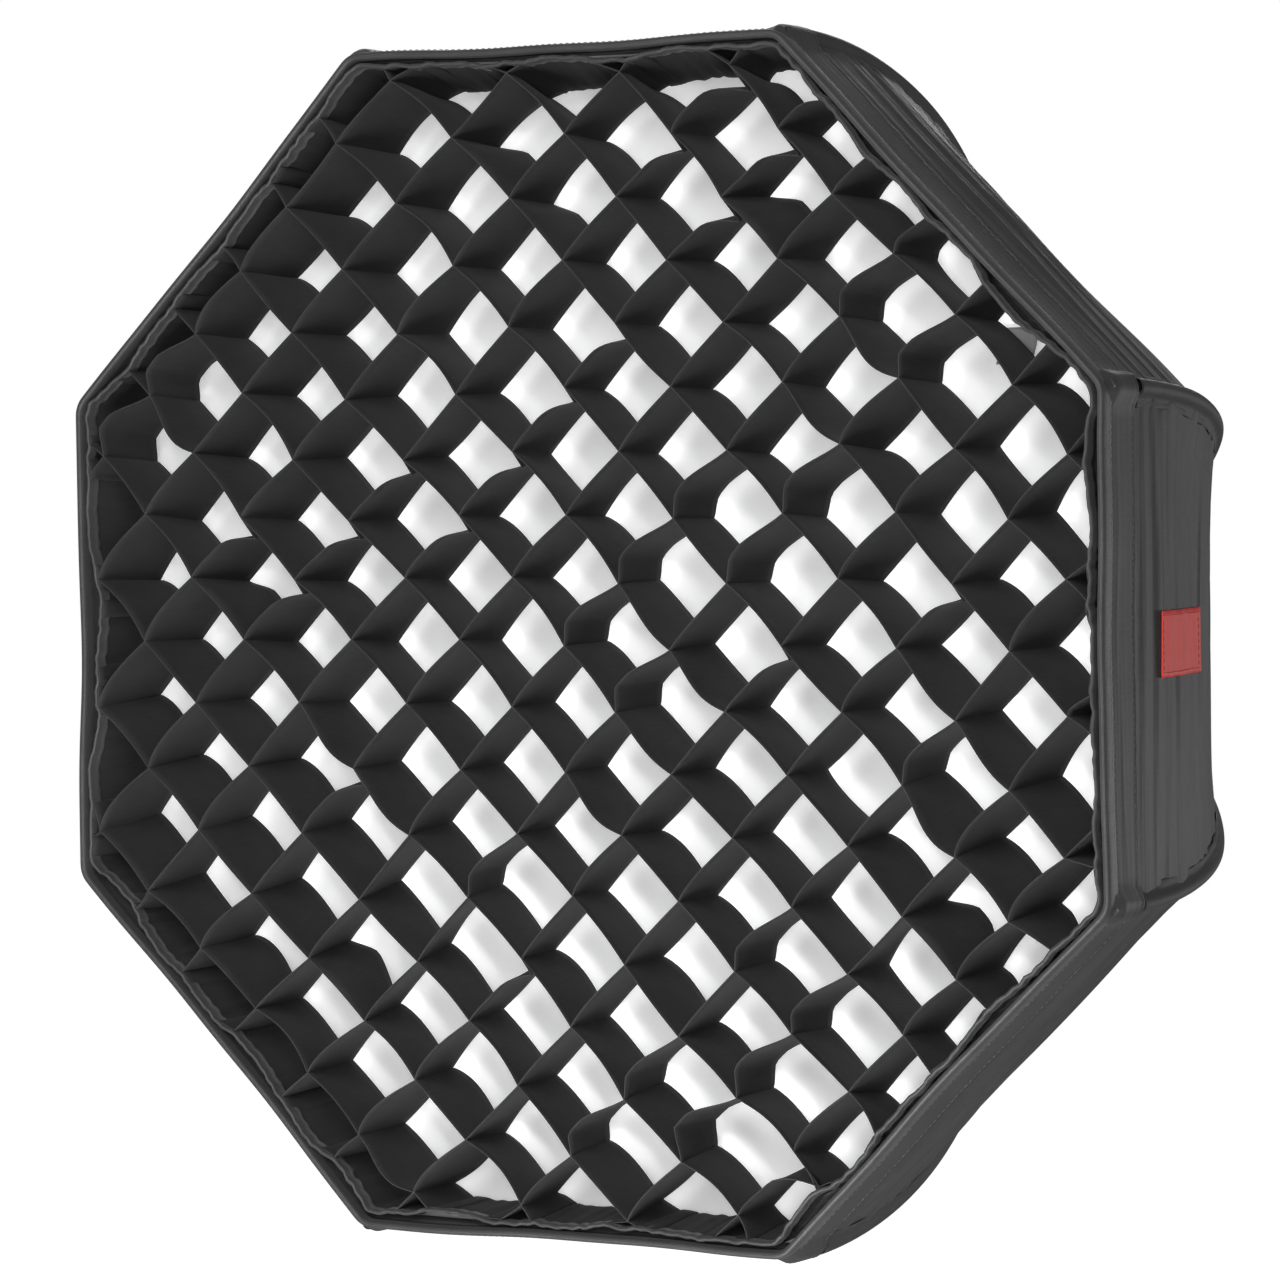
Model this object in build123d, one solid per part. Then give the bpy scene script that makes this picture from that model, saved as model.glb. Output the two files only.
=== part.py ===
from build123d import *
import os
from math import acos, asin, cos, degrees, radians, sin, sqrt, tan

# Octagonal softbox with its honeycomb fabric grid fitted in the front lip.
# Row frame: +Z up, the light leaves towards -Y, the lamp head plugs in at +Y.
# Origin: centre of the seating plane at the back of the bayonet insert.
# "depth" below is the distance behind the rim plane, so y = depth - BOX_DEPTH.

# ---- driving dimensions (mm) ----
CELL = 50.0                 # pitch of the grid cells
STRIP_DEPTH = 50.0          # width of the fabric strips, front to back
STRIP_T = 1.0               # two layers of fabric sewn together
STRIPS_EACH_SIDE = 6        # strips on each side of the middle one
SIDES = 8
APOTHEM = 333.5             # axis to the outer face of a lip panel
BOX_DEPTH = 500.0           # rim plane to seating plane
LIP = 20.0                  # straight part of the shell behind the rim
CURVE_R = 538.0             # radius of the bowed rods behind the lip
REAR_CORNER_R = 105.0       # axis to the rod where the shell ends
SHELL_T = 1.5
GAP = 0.3                   # clearance between pieces that move apart

# ---- frame ----
ROD_R = 2.5
SLEEVE_R, SLEEVE_BORE_R = 4.5, 3.0
POCKET_R, POCKET_BORE_R = 5.5, 4.3
POCKET_FRONT, POCKET_BACK = 3.0, 40.0
CAP_R, CAP_FRONT, CAP_BACK = 4.0, 7.0, 17.0
ROD_FRONT = 10.0
SEAM_HALF = 5.7             # half the room left for a sleeve between two panels
RING_R, RING_LIP_R, RING_SEAT_R = 92.0, 66.0, 72.3
RING_FRONT, RING_SEAT, RING_BACK = 476.0, 488.0, 498.0
SOCKET_R, SOCKET_BORE_R = 6.0, 2.8
SOCKET_START, SOCKET_LENGTH = 2.5, 25.0   # along the rod, from the end of its bow
KNOB_R, KNOB_LENGTH, KNOB_START = 8.0, 14.0, 97.5
SHANK_R, SHANK_TIP, SCREW_DEPTH = 2.5, 72.5, 493.0

# ---- bayonet insert ----
BORE_R = 42.0               # opening for the flash tube and the light
FLANGE_R, HUB_R = 72.0, 65.7
SPIGOT_R, SPIGOT_LENGTH = 46.5, 13.0
LUG_R, LUG_START, LUG_END, LUG_ANGLE = 50.5, 8.0, 12.0, 30.0
LUGS = 3
RETAINER_R, RETAINER_BORE_R, RETAINER_T = 72.0, 50.0, 3.3

# ---- fabric bands around the lip: inner apothem, outer apothem, front, back ----
RIM_BINDING = (331.0, 335.2, 0.0, 2.7)
LOOP_TAPE_FRONT = (330.7, 331.7, 6.0, 30.0)
LOOP_TAPE_REAR = (327.2, 328.2, 62.0, 84.0)
GRID_BORDER = (328.4, 329.4, 4.0, 52.0)
GRID_BINDING = (327.9, 330.0, 1.0, 4.0)
GRID_HOOK_TAPE = (329.5, 330.4, 8.0, 28.0)
DIFFUSER_HEM = (325.6, 326.8, 67.0, 84.0)
STRIP_REACH = 327.4         # apothem that the strips stop at
STRIP_FRONT = 1.5
SLOT_PLAY = 0.2
DIFFUSER_FRONT, DIFFUSER_T, DIFFUSER_CORNER_R = 66.0, 1.0, 348.0
COLLAR = (92.8, 96.6, 479.0, 488.0)
COLLAR_HALF_WIDTH = 24.0
TAG_FRONT, TAG_BACK, TAG_HALF_HEIGHT, TAG_T = 72.0, 178.0, 18.0, 0.6

HALF_SIDE = 180.0 / SIDES
CORNER_R = APOTHEM / cos(radians(HALF_SIDE))
CURVE_END = degrees(acos(1 - (CORNER_R - REAR_CORNER_R) / CURVE_R))
FLAT_ANGLES = [i * 360 / SIDES for i in range(SIDES)]
CORNER_ANGLES = [angle + HALF_SIDE for angle in FLAT_ANGLES]
FRONT_Y = -BOX_DEPTH


def turn(shape, angle):
    """Turn a shape made beside +X about the Y axis, so that +X goes to `angle` from +X towards +Z."""
    return Rot(0, -angle, 0) * shape


def disc(radius, front, back):
    """A cylinder about the Y axis between two depths."""
    middle = (front + back) / 2 + FRONT_Y
    return Pos(0, middle, 0) * Rot(90, 0, 0) * Cylinder(radius, back - front)


def wedge(inset):
    """The sector of one panel beside +X, with both side planes moved inwards."""
    apex = inset / sin(radians(HALF_SIDE))
    reach = 420.0
    half = (reach - apex) * tan(radians(HALF_SIDE))
    corners = [(apex, 0), (reach, half), (reach, -half)]
    sector = Plane.XZ * make_face(Polyline(*corners, close=True))
    return extrude(sector, BOX_DEPTH + 20, both=True)


def band(size, inset, half_width=160.0):
    """One flat length of tape or binding beside +X."""
    inner, outer, front, back = size
    length = 2 * half_width
    box = Box(outer - inner, back - front, length)
    box = Pos((inner + outer) / 2, FRONT_Y + (front + back) / 2, 0) * box
    return box & wedge(inset)


def all_sides(make, *arguments):
    """The same piece on every side, as one group of separate solids."""
    return Compound(children=[turn(make(*arguments), angle) for angle in FLAT_ANGLES])


def flat_curve(offset):
    """Profile of a panel's middle in the XY plane, moved outwards by `offset`."""
    squash = cos(radians(HALF_SIDE))
    centre = (APOTHEM - CURVE_R * squash, FRONT_Y + LIP)
    lip_front = (APOTHEM + offset, FRONT_Y + RIM_BINDING[3])
    lip_back = (APOTHEM + offset, FRONT_Y + LIP)
    bow = EllipticalCenterArc(centre, CURVE_R * squash + offset, CURVE_R + offset,
                              arc_size=CURVE_END)
    return lip_front, lip_back, bow


def curved_sheet(outside, thickness, half_width):
    """A sheet that follows the panel's middle line, before its sides are cut."""
    outer_front, outer_back, outer_bow = flat_curve(outside)
    inner_front, inner_back, inner_bow = flat_curve(outside - thickness)
    edges = [
        Line(outer_front, outer_back), outer_bow, Line(outer_bow @ 1, inner_bow @ 1),
        inner_bow, Line(inner_back, inner_front), Line(inner_front, outer_front),
    ]
    return extrude(make_face(edges), half_width, both=True)


def shell_panel():
    return curved_sheet(0, SHELL_T, 160.0) & wedge(SEAM_HALF)


def maker_tag():
    sheet = curved_sheet(TAG_T + 0.1, TAG_T, TAG_HALF_HEIGHT)
    middle = FRONT_Y + (TAG_FRONT + TAG_BACK) / 2
    return sheet & Pos(APOTHEM, middle, 0) * Box(200, TAG_BACK - TAG_FRONT, 4 * TAG_HALF_HEIGHT)


def corner_bow(radius, start, end):
    """A round bar along the bowed part of the corner beside +X, between two angles of its arc."""
    section = Plane.XZ.offset(-(FRONT_Y + LIP)) * Pos(CORNER_R, 0) * Circle(radius)
    axis = Axis((CORNER_R - CURVE_R, FRONT_Y + LIP, 0), (0, 0, 1))
    return revolve(section, axis, end - start).rotate(axis, start)


def disc_piece(radius, front, back):
    """A cylinder along Y that starts at y = front, for placing beside the axis."""
    return Pos(0, (front + back) / 2, 0) * Rot(90, 0, 0) * Cylinder(radius, back - front)


def rod_end_frame(beyond=0.0):
    """Cross-section plane of the rod at a distance beyond the end of its bow."""
    bend = radians(CURVE_END)
    along = Vector(-sin(bend), cos(bend), 0)
    end_of_bow = Vector(REAR_CORNER_R, FRONT_Y + LIP + CURVE_R * sin(bend), 0)
    return Plane(origin=end_of_bow + along * beyond, x_dir=(0, 0, 1), z_dir=along)


def rod():
    bar = Pos(CORNER_R, FRONT_Y, 0) * disc_piece(ROD_R, ROD_FRONT, LIP)
    bar += corner_bow(ROD_R, 0, CURVE_END)
    return bar + extrude(rod_end_frame() * Circle(ROD_R), SOCKET_START + SOCKET_LENGTH - 3)


def rod_socket(radius, bore=0.0):
    start = rod_end_frame(SOCKET_START)
    socket = extrude(start * Circle(radius), SOCKET_LENGTH)
    if bore:
        socket -= extrude(start * Circle(bore), SOCKET_LENGTH - 2)
    return socket


def rod_sleeve():
    start = degrees(asin((POCKET_BACK + 1 - LIP) / CURVE_R))
    outside = corner_bow(SLEEVE_R, start, CURVE_END - 1)
    return outside - corner_bow(SLEEVE_BORE_R, 0, CURVE_END)


def corner_pocket():
    outside = disc_piece(POCKET_R, POCKET_FRONT, POCKET_BACK)
    inside = disc_piece(POCKET_BORE_R, CAP_FRONT - GAP, POCKET_BACK + 1)
    return Pos(CORNER_R, FRONT_Y, 0) * (outside - inside)


def rod_tip_cap():
    cap = disc_piece(CAP_R, CAP_FRONT, CAP_BACK) - disc_piece(ROD_R, ROD_FRONT, CAP_BACK + 1)
    return Pos(CORNER_R, FRONT_Y, 0) * cap


def all_corners(make, *arguments):
    """The same piece at every corner, as one group of separate solids."""
    return Compound(children=[turn(make(*arguments), angle) for angle in CORNER_ANGLES])


def speed_ring():
    ring = disc(RING_R, RING_FRONT, RING_BACK) - disc(RING_LIP_R, RING_FRONT - 1, RING_BACK)
    ring -= disc(RING_SEAT_R, RING_SEAT, RING_BACK + 1)
    for angle in CORNER_ANGLES:
        ring -= turn(rod_socket(SOCKET_R), angle)
    for side in (1, -1):
        middle = side * (RING_SEAT_R + RING_R) / 2
        ring -= Pos(0, FRONT_Y + SCREW_DEPTH, middle) * Cylinder(SHANK_R + 0.1, 30)
    return ring


def bayonet_insert():
    insert = disc(FLANGE_R, RING_SEAT + GAP, BOX_DEPTH)
    insert += disc(HUB_R, RING_FRONT - GAP, BOX_DEPTH)
    insert += disc(SPIGOT_R, BOX_DEPTH, BOX_DEPTH + SPIGOT_LENGTH)
    lug_ring = disc(LUG_R, BOX_DEPTH + LUG_START, BOX_DEPTH + LUG_END)
    reach = 2 * LUG_R
    half = reach * tan(radians(LUG_ANGLE / 2))
    sector = Plane.XZ * make_face(Polyline((0, 0), (reach, half), (reach, -half), close=True))
    for i in range(LUGS):
        insert += lug_ring & turn(extrude(sector, 50, both=True), 90 + i * 360 / LUGS)
    return insert - disc(BORE_R, RING_FRONT - 5, BOX_DEPTH + SPIGOT_LENGTH + 5)


def insert_retainer():
    back = RING_FRONT - GAP
    return disc(RETAINER_R, back - RETAINER_T, back) - disc(RETAINER_BORE_R, back - 10, back + 1)


def lock_screw(side):
    """Thumb screw through the ring wall, above the axis (1) or below it (-1)."""
    shank = Pos(0, 0, (SHANK_TIP + KNOB_START) / 2) * Cylinder(SHANK_R, KNOB_START - SHANK_TIP)
    knob = Cylinder(KNOB_R, KNOB_LENGTH, align=(Align.CENTER, Align.CENTER, Align.MIN))
    lobes = PolarLocations(KNOB_R + 1.2, 6) * Cylinder(2.2, KNOB_LENGTH + 2,
                                                      align=(Align.CENTER, Align.CENTER, Align.MIN))
    screw = shank + Pos(0, 0, KNOB_START) * (knob - lobes)
    return Pos(0, FRONT_Y + SCREW_DEPTH, 0) * Rot(0, 0 if side > 0 else 180, 0) * screw


def collar_tab():
    return band(COLLAR, 0, COLLAR_HALF_WIDTH)


def loop_tape_side():
    return Compound(children=[band(LOOP_TAPE_FRONT, SEAM_HALF), band(LOOP_TAPE_REAR, SEAM_HALF)])


def diffuser_sheet():
    sheet = disc(DIFFUSER_CORNER_R, DIFFUSER_FRONT, DIFFUSER_FRONT + DIFFUSER_T)
    side = 2 * DIFFUSER_HEM[1]
    square = Pos(0, FRONT_Y + DIFFUSER_FRONT, 0) * Box(side, 10, side)
    return sheet & square & (Rot(0, 45, 0) * square)


def half_chord(offset):
    """Half the length that a straight strip has inside the grid's octagon."""
    return min(STRIP_REACH, STRIP_REACH * sqrt(2) - offset) - STRIP_T


def grid_strip(offset, slots_at_back):
    """A strip that runs along X at height `offset`, with a half-depth slot at each crossing."""
    half = half_chord(abs(offset))
    middle = FRONT_Y + STRIP_FRONT + STRIP_DEPTH / 2
    strip = Pos(0, middle, offset) * Box(2 * half, STRIP_DEPTH, STRIP_T)
    slot_depth = STRIP_DEPTH / 2 + SLOT_PLAY
    edge = middle + (1 if slots_at_back else -1) * STRIP_DEPTH / 2
    for step in range(-STRIPS_EACH_SIDE, STRIPS_EACH_SIDE + 1):
        if abs(step * CELL) < half:
            slot = Box(STRIP_T + SLOT_PLAY, 2 * slot_depth, 3 * STRIP_T)
            strip -= Pos(step * CELL, edge, offset) * slot
    return strip


def build():
    """Every node of the assembly, by name."""
    nodes = {
        "bayonet_insert": bayonet_insert(),
        "insert_retainer": insert_retainer(),
        "speed_ring": speed_ring(),
        "rod_sockets": all_corners(rod_socket, SOCKET_R - 0.05, SOCKET_BORE_R),
        "rod_tip_caps": all_corners(rod_tip_cap),
        "rod_sleeves": all_corners(rod_sleeve),
        "corner_pockets": all_corners(corner_pocket),
        "rim_binding": all_sides(band, RIM_BINDING, 0.1),
        "loop_tape": all_sides(loop_tape_side),
        "back_collar": all_sides(collar_tab),
        "maker_tag": maker_tag(),
        "lock_screw_1": lock_screw(1),
        "lock_screw_2": lock_screw(-1),
        "diffuser_sheet": diffuser_sheet(),
        "diffuser_hem": all_sides(band, DIFFUSER_HEM, SEAM_HALF + 1),
        "grid_border": all_sides(band, GRID_BORDER, SEAM_HALF + 1),
        "grid_binding": all_sides(band, GRID_BINDING, SEAM_HALF + 1),
        "grid_hook_tape": all_sides(band, GRID_HOOK_TAPE, SEAM_HALF + 1),
    }
    panel, bowed_rod = shell_panel(), rod()
    for i, (flat, corner) in enumerate(zip(FLAT_ANGLES, CORNER_ANGLES), start=1):
        nodes[f"shell_panel_{i}"] = turn(panel, flat)
        nodes[f"rod_{i}"] = turn(bowed_rod, corner)
    steps = range(-STRIPS_EACH_SIDE, STRIPS_EACH_SIDE + 1)
    for i, step in enumerate(steps, start=1):
        nodes[f"grid_strip_a_{i:02d}"] = turn(grid_strip(step * CELL, True), 45)
        nodes[f"grid_strip_b_{i:02d}"] = turn(grid_strip(step * CELL, False), -45)
    return nodes


def main():
    os.makedirs("parts", exist_ok=True)
    for name, shape in build().items():
        export_step(shape, f"parts/{name}.step")


main()
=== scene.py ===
import math

import bmesh
import bpy
import numpy as np
from mathutils import Matrix, Vector


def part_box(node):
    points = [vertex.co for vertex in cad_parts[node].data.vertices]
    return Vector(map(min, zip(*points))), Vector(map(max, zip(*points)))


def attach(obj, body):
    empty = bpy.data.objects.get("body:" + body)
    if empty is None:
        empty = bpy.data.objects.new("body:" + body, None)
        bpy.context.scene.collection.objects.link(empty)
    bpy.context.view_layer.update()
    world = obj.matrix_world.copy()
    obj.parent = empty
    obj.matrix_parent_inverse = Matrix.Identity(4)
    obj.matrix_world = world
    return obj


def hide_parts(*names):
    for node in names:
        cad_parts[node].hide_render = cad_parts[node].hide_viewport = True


# Octagonal softbox with its honeycomb grid. Metres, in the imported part's own frame:
# the light leaves towards -Y, +Z is up. "depth" is the distance behind the rim plane,
# and an angle goes round the Y axis from +X towards +Z.

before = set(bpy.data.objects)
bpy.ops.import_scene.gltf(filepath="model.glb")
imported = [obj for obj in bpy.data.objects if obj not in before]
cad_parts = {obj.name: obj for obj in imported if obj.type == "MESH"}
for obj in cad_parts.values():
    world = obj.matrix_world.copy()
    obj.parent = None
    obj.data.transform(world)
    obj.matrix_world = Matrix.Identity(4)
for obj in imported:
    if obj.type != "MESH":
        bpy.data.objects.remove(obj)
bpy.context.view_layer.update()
MM = 0.001
SIDES = 8
HALF = math.pi / SIDES
CORNERS = [(2 * k + 1) * HALF for k in range(SIDES)]
FLATS = [2 * k * HALF for k in range(SIDES)]

# ---- sizes, from the frame ----
FRONT_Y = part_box("rim_binding")[0].y
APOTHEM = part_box("shell_panel_1")[1].x
CORNER_R = APOTHEM / math.cos(HALF)
CELL = 50 * MM
STRIPS_EACH_SIDE = 6
STRIP_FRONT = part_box("grid_strip_a_07")[0].y - FRONT_Y
STRIP_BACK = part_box("grid_strip_a_07")[1].y - FRONT_Y
STRIP_TURN = 11 * MM                # how far a strip's end is turned along the border
DIFFUSER_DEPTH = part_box("diffuser_sheet")[0].y - FRONT_Y
SHELL_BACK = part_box("shell_panel_1")[1].y - FRONT_Y
LIP = 20 * MM                       # straight part of the corner rods
CURVE_R = 538 * MM                  # radius of their bow
HEM_BACK = 39 * MM                  # rear edge of the shell's front hem
BORDER_APOTHEM = 328.6 * MM
BORDER_FRONT, BORDER_BACK = 2.5 * MM, 52 * MM
LABEL_PLACE = (255 * MM, 162 * MM)  # care label, near the upper right corner


# ---------------------------------------------------------------- mesh helpers
def make_object(name, verts, faces, uvs, materials):
    """A smooth-shaded mesh object, with one UV pair for every corner of every face."""
    mesh = bpy.data.meshes.new(name)
    mesh.from_pydata([tuple(v) for v in verts], [], faces)
    layer = mesh.uv_layers.new(name="UVMap")
    layer.data.foreach_set("uv", np.asarray(uvs, np.float32).ravel())
    for polygon in mesh.polygons:
        polygon.use_smooth = True
    for material in materials:
        mesh.materials.append(material)
    obj = bpy.data.objects.new(name, mesh)
    bpy.context.scene.collection.objects.link(obj)
    return obj


def surface(name, points, materials, closed=False):
    """A sheet through a (rows, columns, 3) array, facing outwards. closed joins its last column to the
    first. Its UVs are distances in metres: u from column to column, v from row to row."""
    rows, cols, _ = points.shape
    ring = np.concatenate([points, points[:, :1]], axis=1) if closed else points
    across = np.linalg.norm(np.diff(ring, axis=1), axis=2).mean(0)
    along = np.linalg.norm(np.diff(points, axis=0), axis=2).mean(1)
    u = np.concatenate([[0], np.cumsum(across)])
    v = np.concatenate([[0], np.cumsum(along)])
    span = cols if closed else cols - 1
    middle = points.mean((0, 1)) * (0, 1, 0)
    a, b = points[1:, :-1] - points[:-1, :-1], points[:-1, 1:] - points[:-1, :-1]
    facing = (np.cross(b, a) * (points[:-1, :-1] - middle)).sum()
    flip = facing <= 0
    faces, uvs = [], []
    for r in range(rows - 1):
        for c in range(span):
            quad = [(r, c), (r, c + 1), (r + 1, c + 1), (r + 1, c)]
            if flip:
                quad.reverse()
            faces.append([i * cols + j % cols for i, j in quad])
            uvs += [(u[j], v[i]) for i, j in quad]
    return make_object(name, points.reshape(-1, 3), faces, uvs, materials)


def thicken(obj, thickness, offset=0.0, rim=0, inside=0):
    """Gives a sheet its thickness. rim and inside are the material slots of its cut edge and inner side."""
    solid = obj.modifiers.new("Thickness", "SOLIDIFY")
    solid.thickness = thickness
    solid.offset = offset
    solid.material_offset_rim = rim
    solid.material_offset = inside
    return obj


def smooth(obj):
    subdivision = obj.modifiers.new("Smooth", "SUBSURF")
    subdivision.levels = subdivision.render_levels = 1
    return obj


def polar(radius, angle, depth):
    """Points at radius and angle round the Y axis, `depth` behind the rim plane."""
    radius, angle, depth = np.broadcast_arrays(radius, angle, depth)
    return np.stack([radius * np.cos(angle), FRONT_Y + depth, radius * np.sin(angle)], axis=-1)


class Waves:
    """A smooth random function of one, two or three numbers, from a fixed seed: about -1 to 1."""

    def __init__(self, seed, lengths, count=9):
        rng = np.random.default_rng(seed)
        lengths = np.atleast_1d(lengths)
        self.k = rng.normal(size=(count, len(lengths))) * 2.6 / lengths
        self.phase = rng.uniform(0, 2 * math.pi, count)
        self.share = 1.5 / math.sqrt(count)

    def __call__(self, *x):
        x = np.broadcast_arrays(*x)
        total = sum(np.sin(sum(k * xi for k, xi in zip(ks, x)) + p) for ks, p in zip(self.k, self.phase))
        return total * self.share * 0.7


def bump(x, centre, width):
    """A soft hump of height 1."""
    return np.exp(-((x - centre) / width) ** 2)


def ramp(x, start, end):
    """A soft step from 0 at `start` to 1 at `end`."""
    t = np.clip((x - start) / (end - start), 0, 1)
    return t * t * (3 - 2 * t)


# ---------------------------------------------------------------- the octagon
def octagon(apothem, corner_radius, along=26, around=6):
    """Points round a rounded octagon: positions (x, z), outward normals and angles."""
    inner = apothem - corner_radius
    half_side = inner * math.tan(HALF)
    places, normals = [], []
    for flat in FLATS:
        out = np.array([math.cos(flat), math.sin(flat)])
        side = np.array([-math.sin(flat), math.cos(flat)])
        for t in np.linspace(-half_side, half_side, along + 1):
            places.append(out * apothem + side * t)
            normals.append(out)
        centre = np.array([math.cos(flat + HALF), math.sin(flat + HALF)]) * inner / math.cos(HALF)
        for turn in np.linspace(0, 2 * HALF, around + 1)[1:-1]:
            normal = np.array([math.cos(flat + turn), math.sin(flat + turn)])
            places.append(centre + normal * corner_radius)
            normals.append(normal)
    places, normals = np.array(places), np.array(normals)
    return places, normals, np.arctan2(places[:, 1], places[:, 0])


def octagon_radius(apothem, angle):
    """Radius of a sharp octagon in a direction."""
    nearest = np.round(np.asarray(angle) / (2 * HALF)) * 2 * HALF
    return apothem / np.cos(angle - nearest)


def round_trip(waves, angle, turns):
    """Waves round the axis that meet themselves at the left, where the angle jumps from pi to -pi."""
    angle = np.mod(np.asarray(angle) + math.pi, 2 * math.pi) - math.pi
    share = ramp(angle, math.pi - 0.6, math.pi)
    return waves(angle * turns) * (1 - share) + waves((angle - 2 * math.pi) * turns) * share


LIP_WAVE_IN = Waves(3, 0.9)
LIP_WAVE_FORWARD = Waves(4, 1.1)


def lip_shift(angle, depth):
    """How the soft lip leaves the true octagon: (inwards, forwards), fading out behind it."""
    fade = 1 - ramp(depth, 10 * MM, 80 * MM)
    taut = 1.1 * MM * (1 + np.cos(SIDES * angle))
    inwards = (taut + 0.8 * MM * round_trip(LIP_WAVE_IN, angle, 3)) * fade
    forwards = 1.0 * MM * round_trip(LIP_WAVE_FORWARD, angle, 3) * fade
    return inwards, forwards


def corner_radius_at(depth):
    """Radius of the corner rods' centre line at a depth."""
    bow = np.clip((depth - LIP) / CURVE_R, 0, 1)
    return CORNER_R - CURVE_R * (1 - np.sqrt(1 - bow * bow))


def lip_ring(name, profile, materials, corner=16 * MM, follow_bow=True, extra=None, closed_profile=True,
             along=40):
    """A band round the lip. profile is a list of (outwards from the shell's outer face, depth).
    extra(angle, depth) adds (outwards, forwards) to every point."""
    rows = []
    for out, depth in profile:
        drop = (CORNER_R - corner_radius_at(depth)) * math.cos(HALF) if follow_bow else 0.0
        places, normals, angle = octagon(APOTHEM + out - drop, corner + out, along=along)
        inwards, forwards = lip_shift(angle, depth)
        outwards = -inwards
        if extra:
            more_out, more_forward = extra(angle, depth)
            outwards, forwards = outwards + more_out, forwards + more_forward
        flat = places + normals * outwards[:, None]
        rows.append(np.stack([flat[:, 0], FRONT_Y + depth - forwards, flat[:, 1]], axis=-1))
    if closed_profile:
        rows.append(rows[0])
    obj = surface(name, np.array(rows), materials, closed=True)
    if closed_profile:
        weld(obj)
    return obj


def weld(obj):
    """Joins the first and last rows of a band whose cross-section is closed."""
    mesh = bmesh.new()
    mesh.from_mesh(obj.data)
    bmesh.ops.remove_doubles(mesh, verts=mesh.verts, dist=1e-6)
    mesh.to_mesh(obj.data)
    mesh.free()


# ---------------------------------------------------------------- materials
def new_material(name):
    """A material with its nodes, its links and its shader."""
    material = bpy.data.materials.new(name)
    material.use_nodes = True
    nodes, links = material.node_tree.nodes, material.node_tree.links
    return material, nodes, links, nodes["Principled BSDF"]


def uv_waves(nodes, links, direction, spacing, uv):
    """Ridges across the UV map, `spacing` apart in metres."""
    wave = nodes.new("ShaderNodeTexWave")
    wave.wave_type = "BANDS"
    wave.bands_direction = direction
    wave.inputs["Scale"].default_value = 2 * math.pi / (20 * spacing)
    links.new(uv.outputs["UV"], wave.inputs["Vector"])
    return wave.outputs["Fac"]


def combine(nodes, links, operation, a, b):
    """The result of a maths node for two values, each a number or a socket."""
    node = nodes.new("ShaderNodeMath")
    node.operation = operation
    for socket, value in zip(node.inputs, (a, b)):
        if isinstance(value, (int, float)):
            socket.default_value = value
        else:
            links.new(value, socket)
    return node.outputs[0]


def noise(nodes, links, vector, scale, detail):
    texture = nodes.new("ShaderNodeTexNoise")
    texture.inputs["Scale"].default_value = scale
    texture.inputs["Detail"].default_value = detail
    links.new(vector, texture.inputs["Vector"])
    return texture.outputs["Fac"]


def stretched(nodes, links, vector, scale):
    """The vector, scaled by its own factor each way."""
    mapping = nodes.new("ShaderNodeMapping")
    mapping.inputs["Scale"].default_value = scale
    links.new(vector, mapping.inputs["Vector"])
    return mapping.outputs["Vector"]


def two_tone(nodes, links, factor, dark, light, start=0.0, end=1.0):
    """A colour that goes from dark, where the factor is at `start`, to light at `end`."""
    node = nodes.new("ShaderNodeValToRGB")
    for stop, position, colour in zip(node.color_ramp.elements, (start, end), (dark, light)):
        stop.position = position
        stop.color = (*colour, 1)
    links.new(factor, node.inputs["Fac"])
    return node.outputs["Color"]


def relief(nodes, links, height, strength, distance, under=None):
    """The normal of a bump map, on top of the normal `under`."""
    node = nodes.new("ShaderNodeBump")
    node.inputs["Strength"].default_value = strength
    node.inputs["Distance"].default_value = distance
    links.new(height, node.inputs["Height"])
    if under is not None:
        links.new(under, node.inputs["Normal"])
    return node.outputs["Normal"]


def fabric(name, dark, light, roughness, thread, weave_depth, sheen=0.04, wrinkle=0.0, shine=0.2, painted_glow=0.0,
           crease=0.0):
    """Woven cloth: threads both ways from the UVs, cloudy colour, and where asked for, soft small wrinkles,
    long narrow creases along u and a painted glow, a white emission that stands in for light."""
    material, nodes, links, shader = new_material(name)
    uv = nodes.new("ShaderNodeUVMap")
    place = nodes.new("ShaderNodeTexCoord")
    uv_out, object_out = uv.outputs["UV"], place.outputs["Object"]
    warp = uv_waves(nodes, links, "X", thread, uv)
    weft = uv_waves(nodes, links, "Y", thread, uv)
    weave = combine(nodes, links, "MULTIPLY", warp, weft)
    cloud = noise(nodes, links, object_out, 30.0, 5.0)
    slub = noise(nodes, links, stretched(nodes, links, uv_out, (900.0, 60.0, 1.0)), 1.0, 3.0)
    tone = combine(nodes, links, "ADD", combine(nodes, links, "MULTIPLY", cloud, 0.55),
                   combine(nodes, links, "MULTIPLY", slub, 0.45))
    tone = combine(nodes, links, "ADD", tone, combine(nodes, links, "MULTIPLY", weave, 0.12))
    colour = two_tone(nodes, links, tone, dark, light, 0.3, 0.75)
    links.new(colour, shader.inputs["Base Color"])
    shader.inputs["Roughness"].default_value = roughness
    shader.inputs["Specular IOR Level"].default_value = shine
    # Painted light: a white emission makes the cloth glow, though it is no lamp.
    if painted_glow:
        shader.inputs["Emission Color"].default_value = (1, 1, 1, 1)
        shader.inputs["Emission Strength"].default_value = painted_glow
    shader.inputs["Sheen Weight"].default_value = sheen
    shader.inputs["Sheen Roughness"].default_value = 0.5
    normal = relief(nodes, links, weave, weave_depth, 0.2 * MM)
    if wrinkle:
        normal = relief(nodes, links, noise(nodes, links, object_out, 28.0, 3.0), wrinkle, 3 * MM, normal)
    if crease:
        folds = noise(nodes, links, stretched(nodes, links, uv_out, (3.0, 70.0, 1.0)), 1.0, 2.0)
        sharp = combine(nodes, links, "POWER", folds, 4.0)
        normal = relief(nodes, links, sharp, crease, 12 * MM, normal)
    links.new(normal, shader.inputs["Normal"])
    return material


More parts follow.
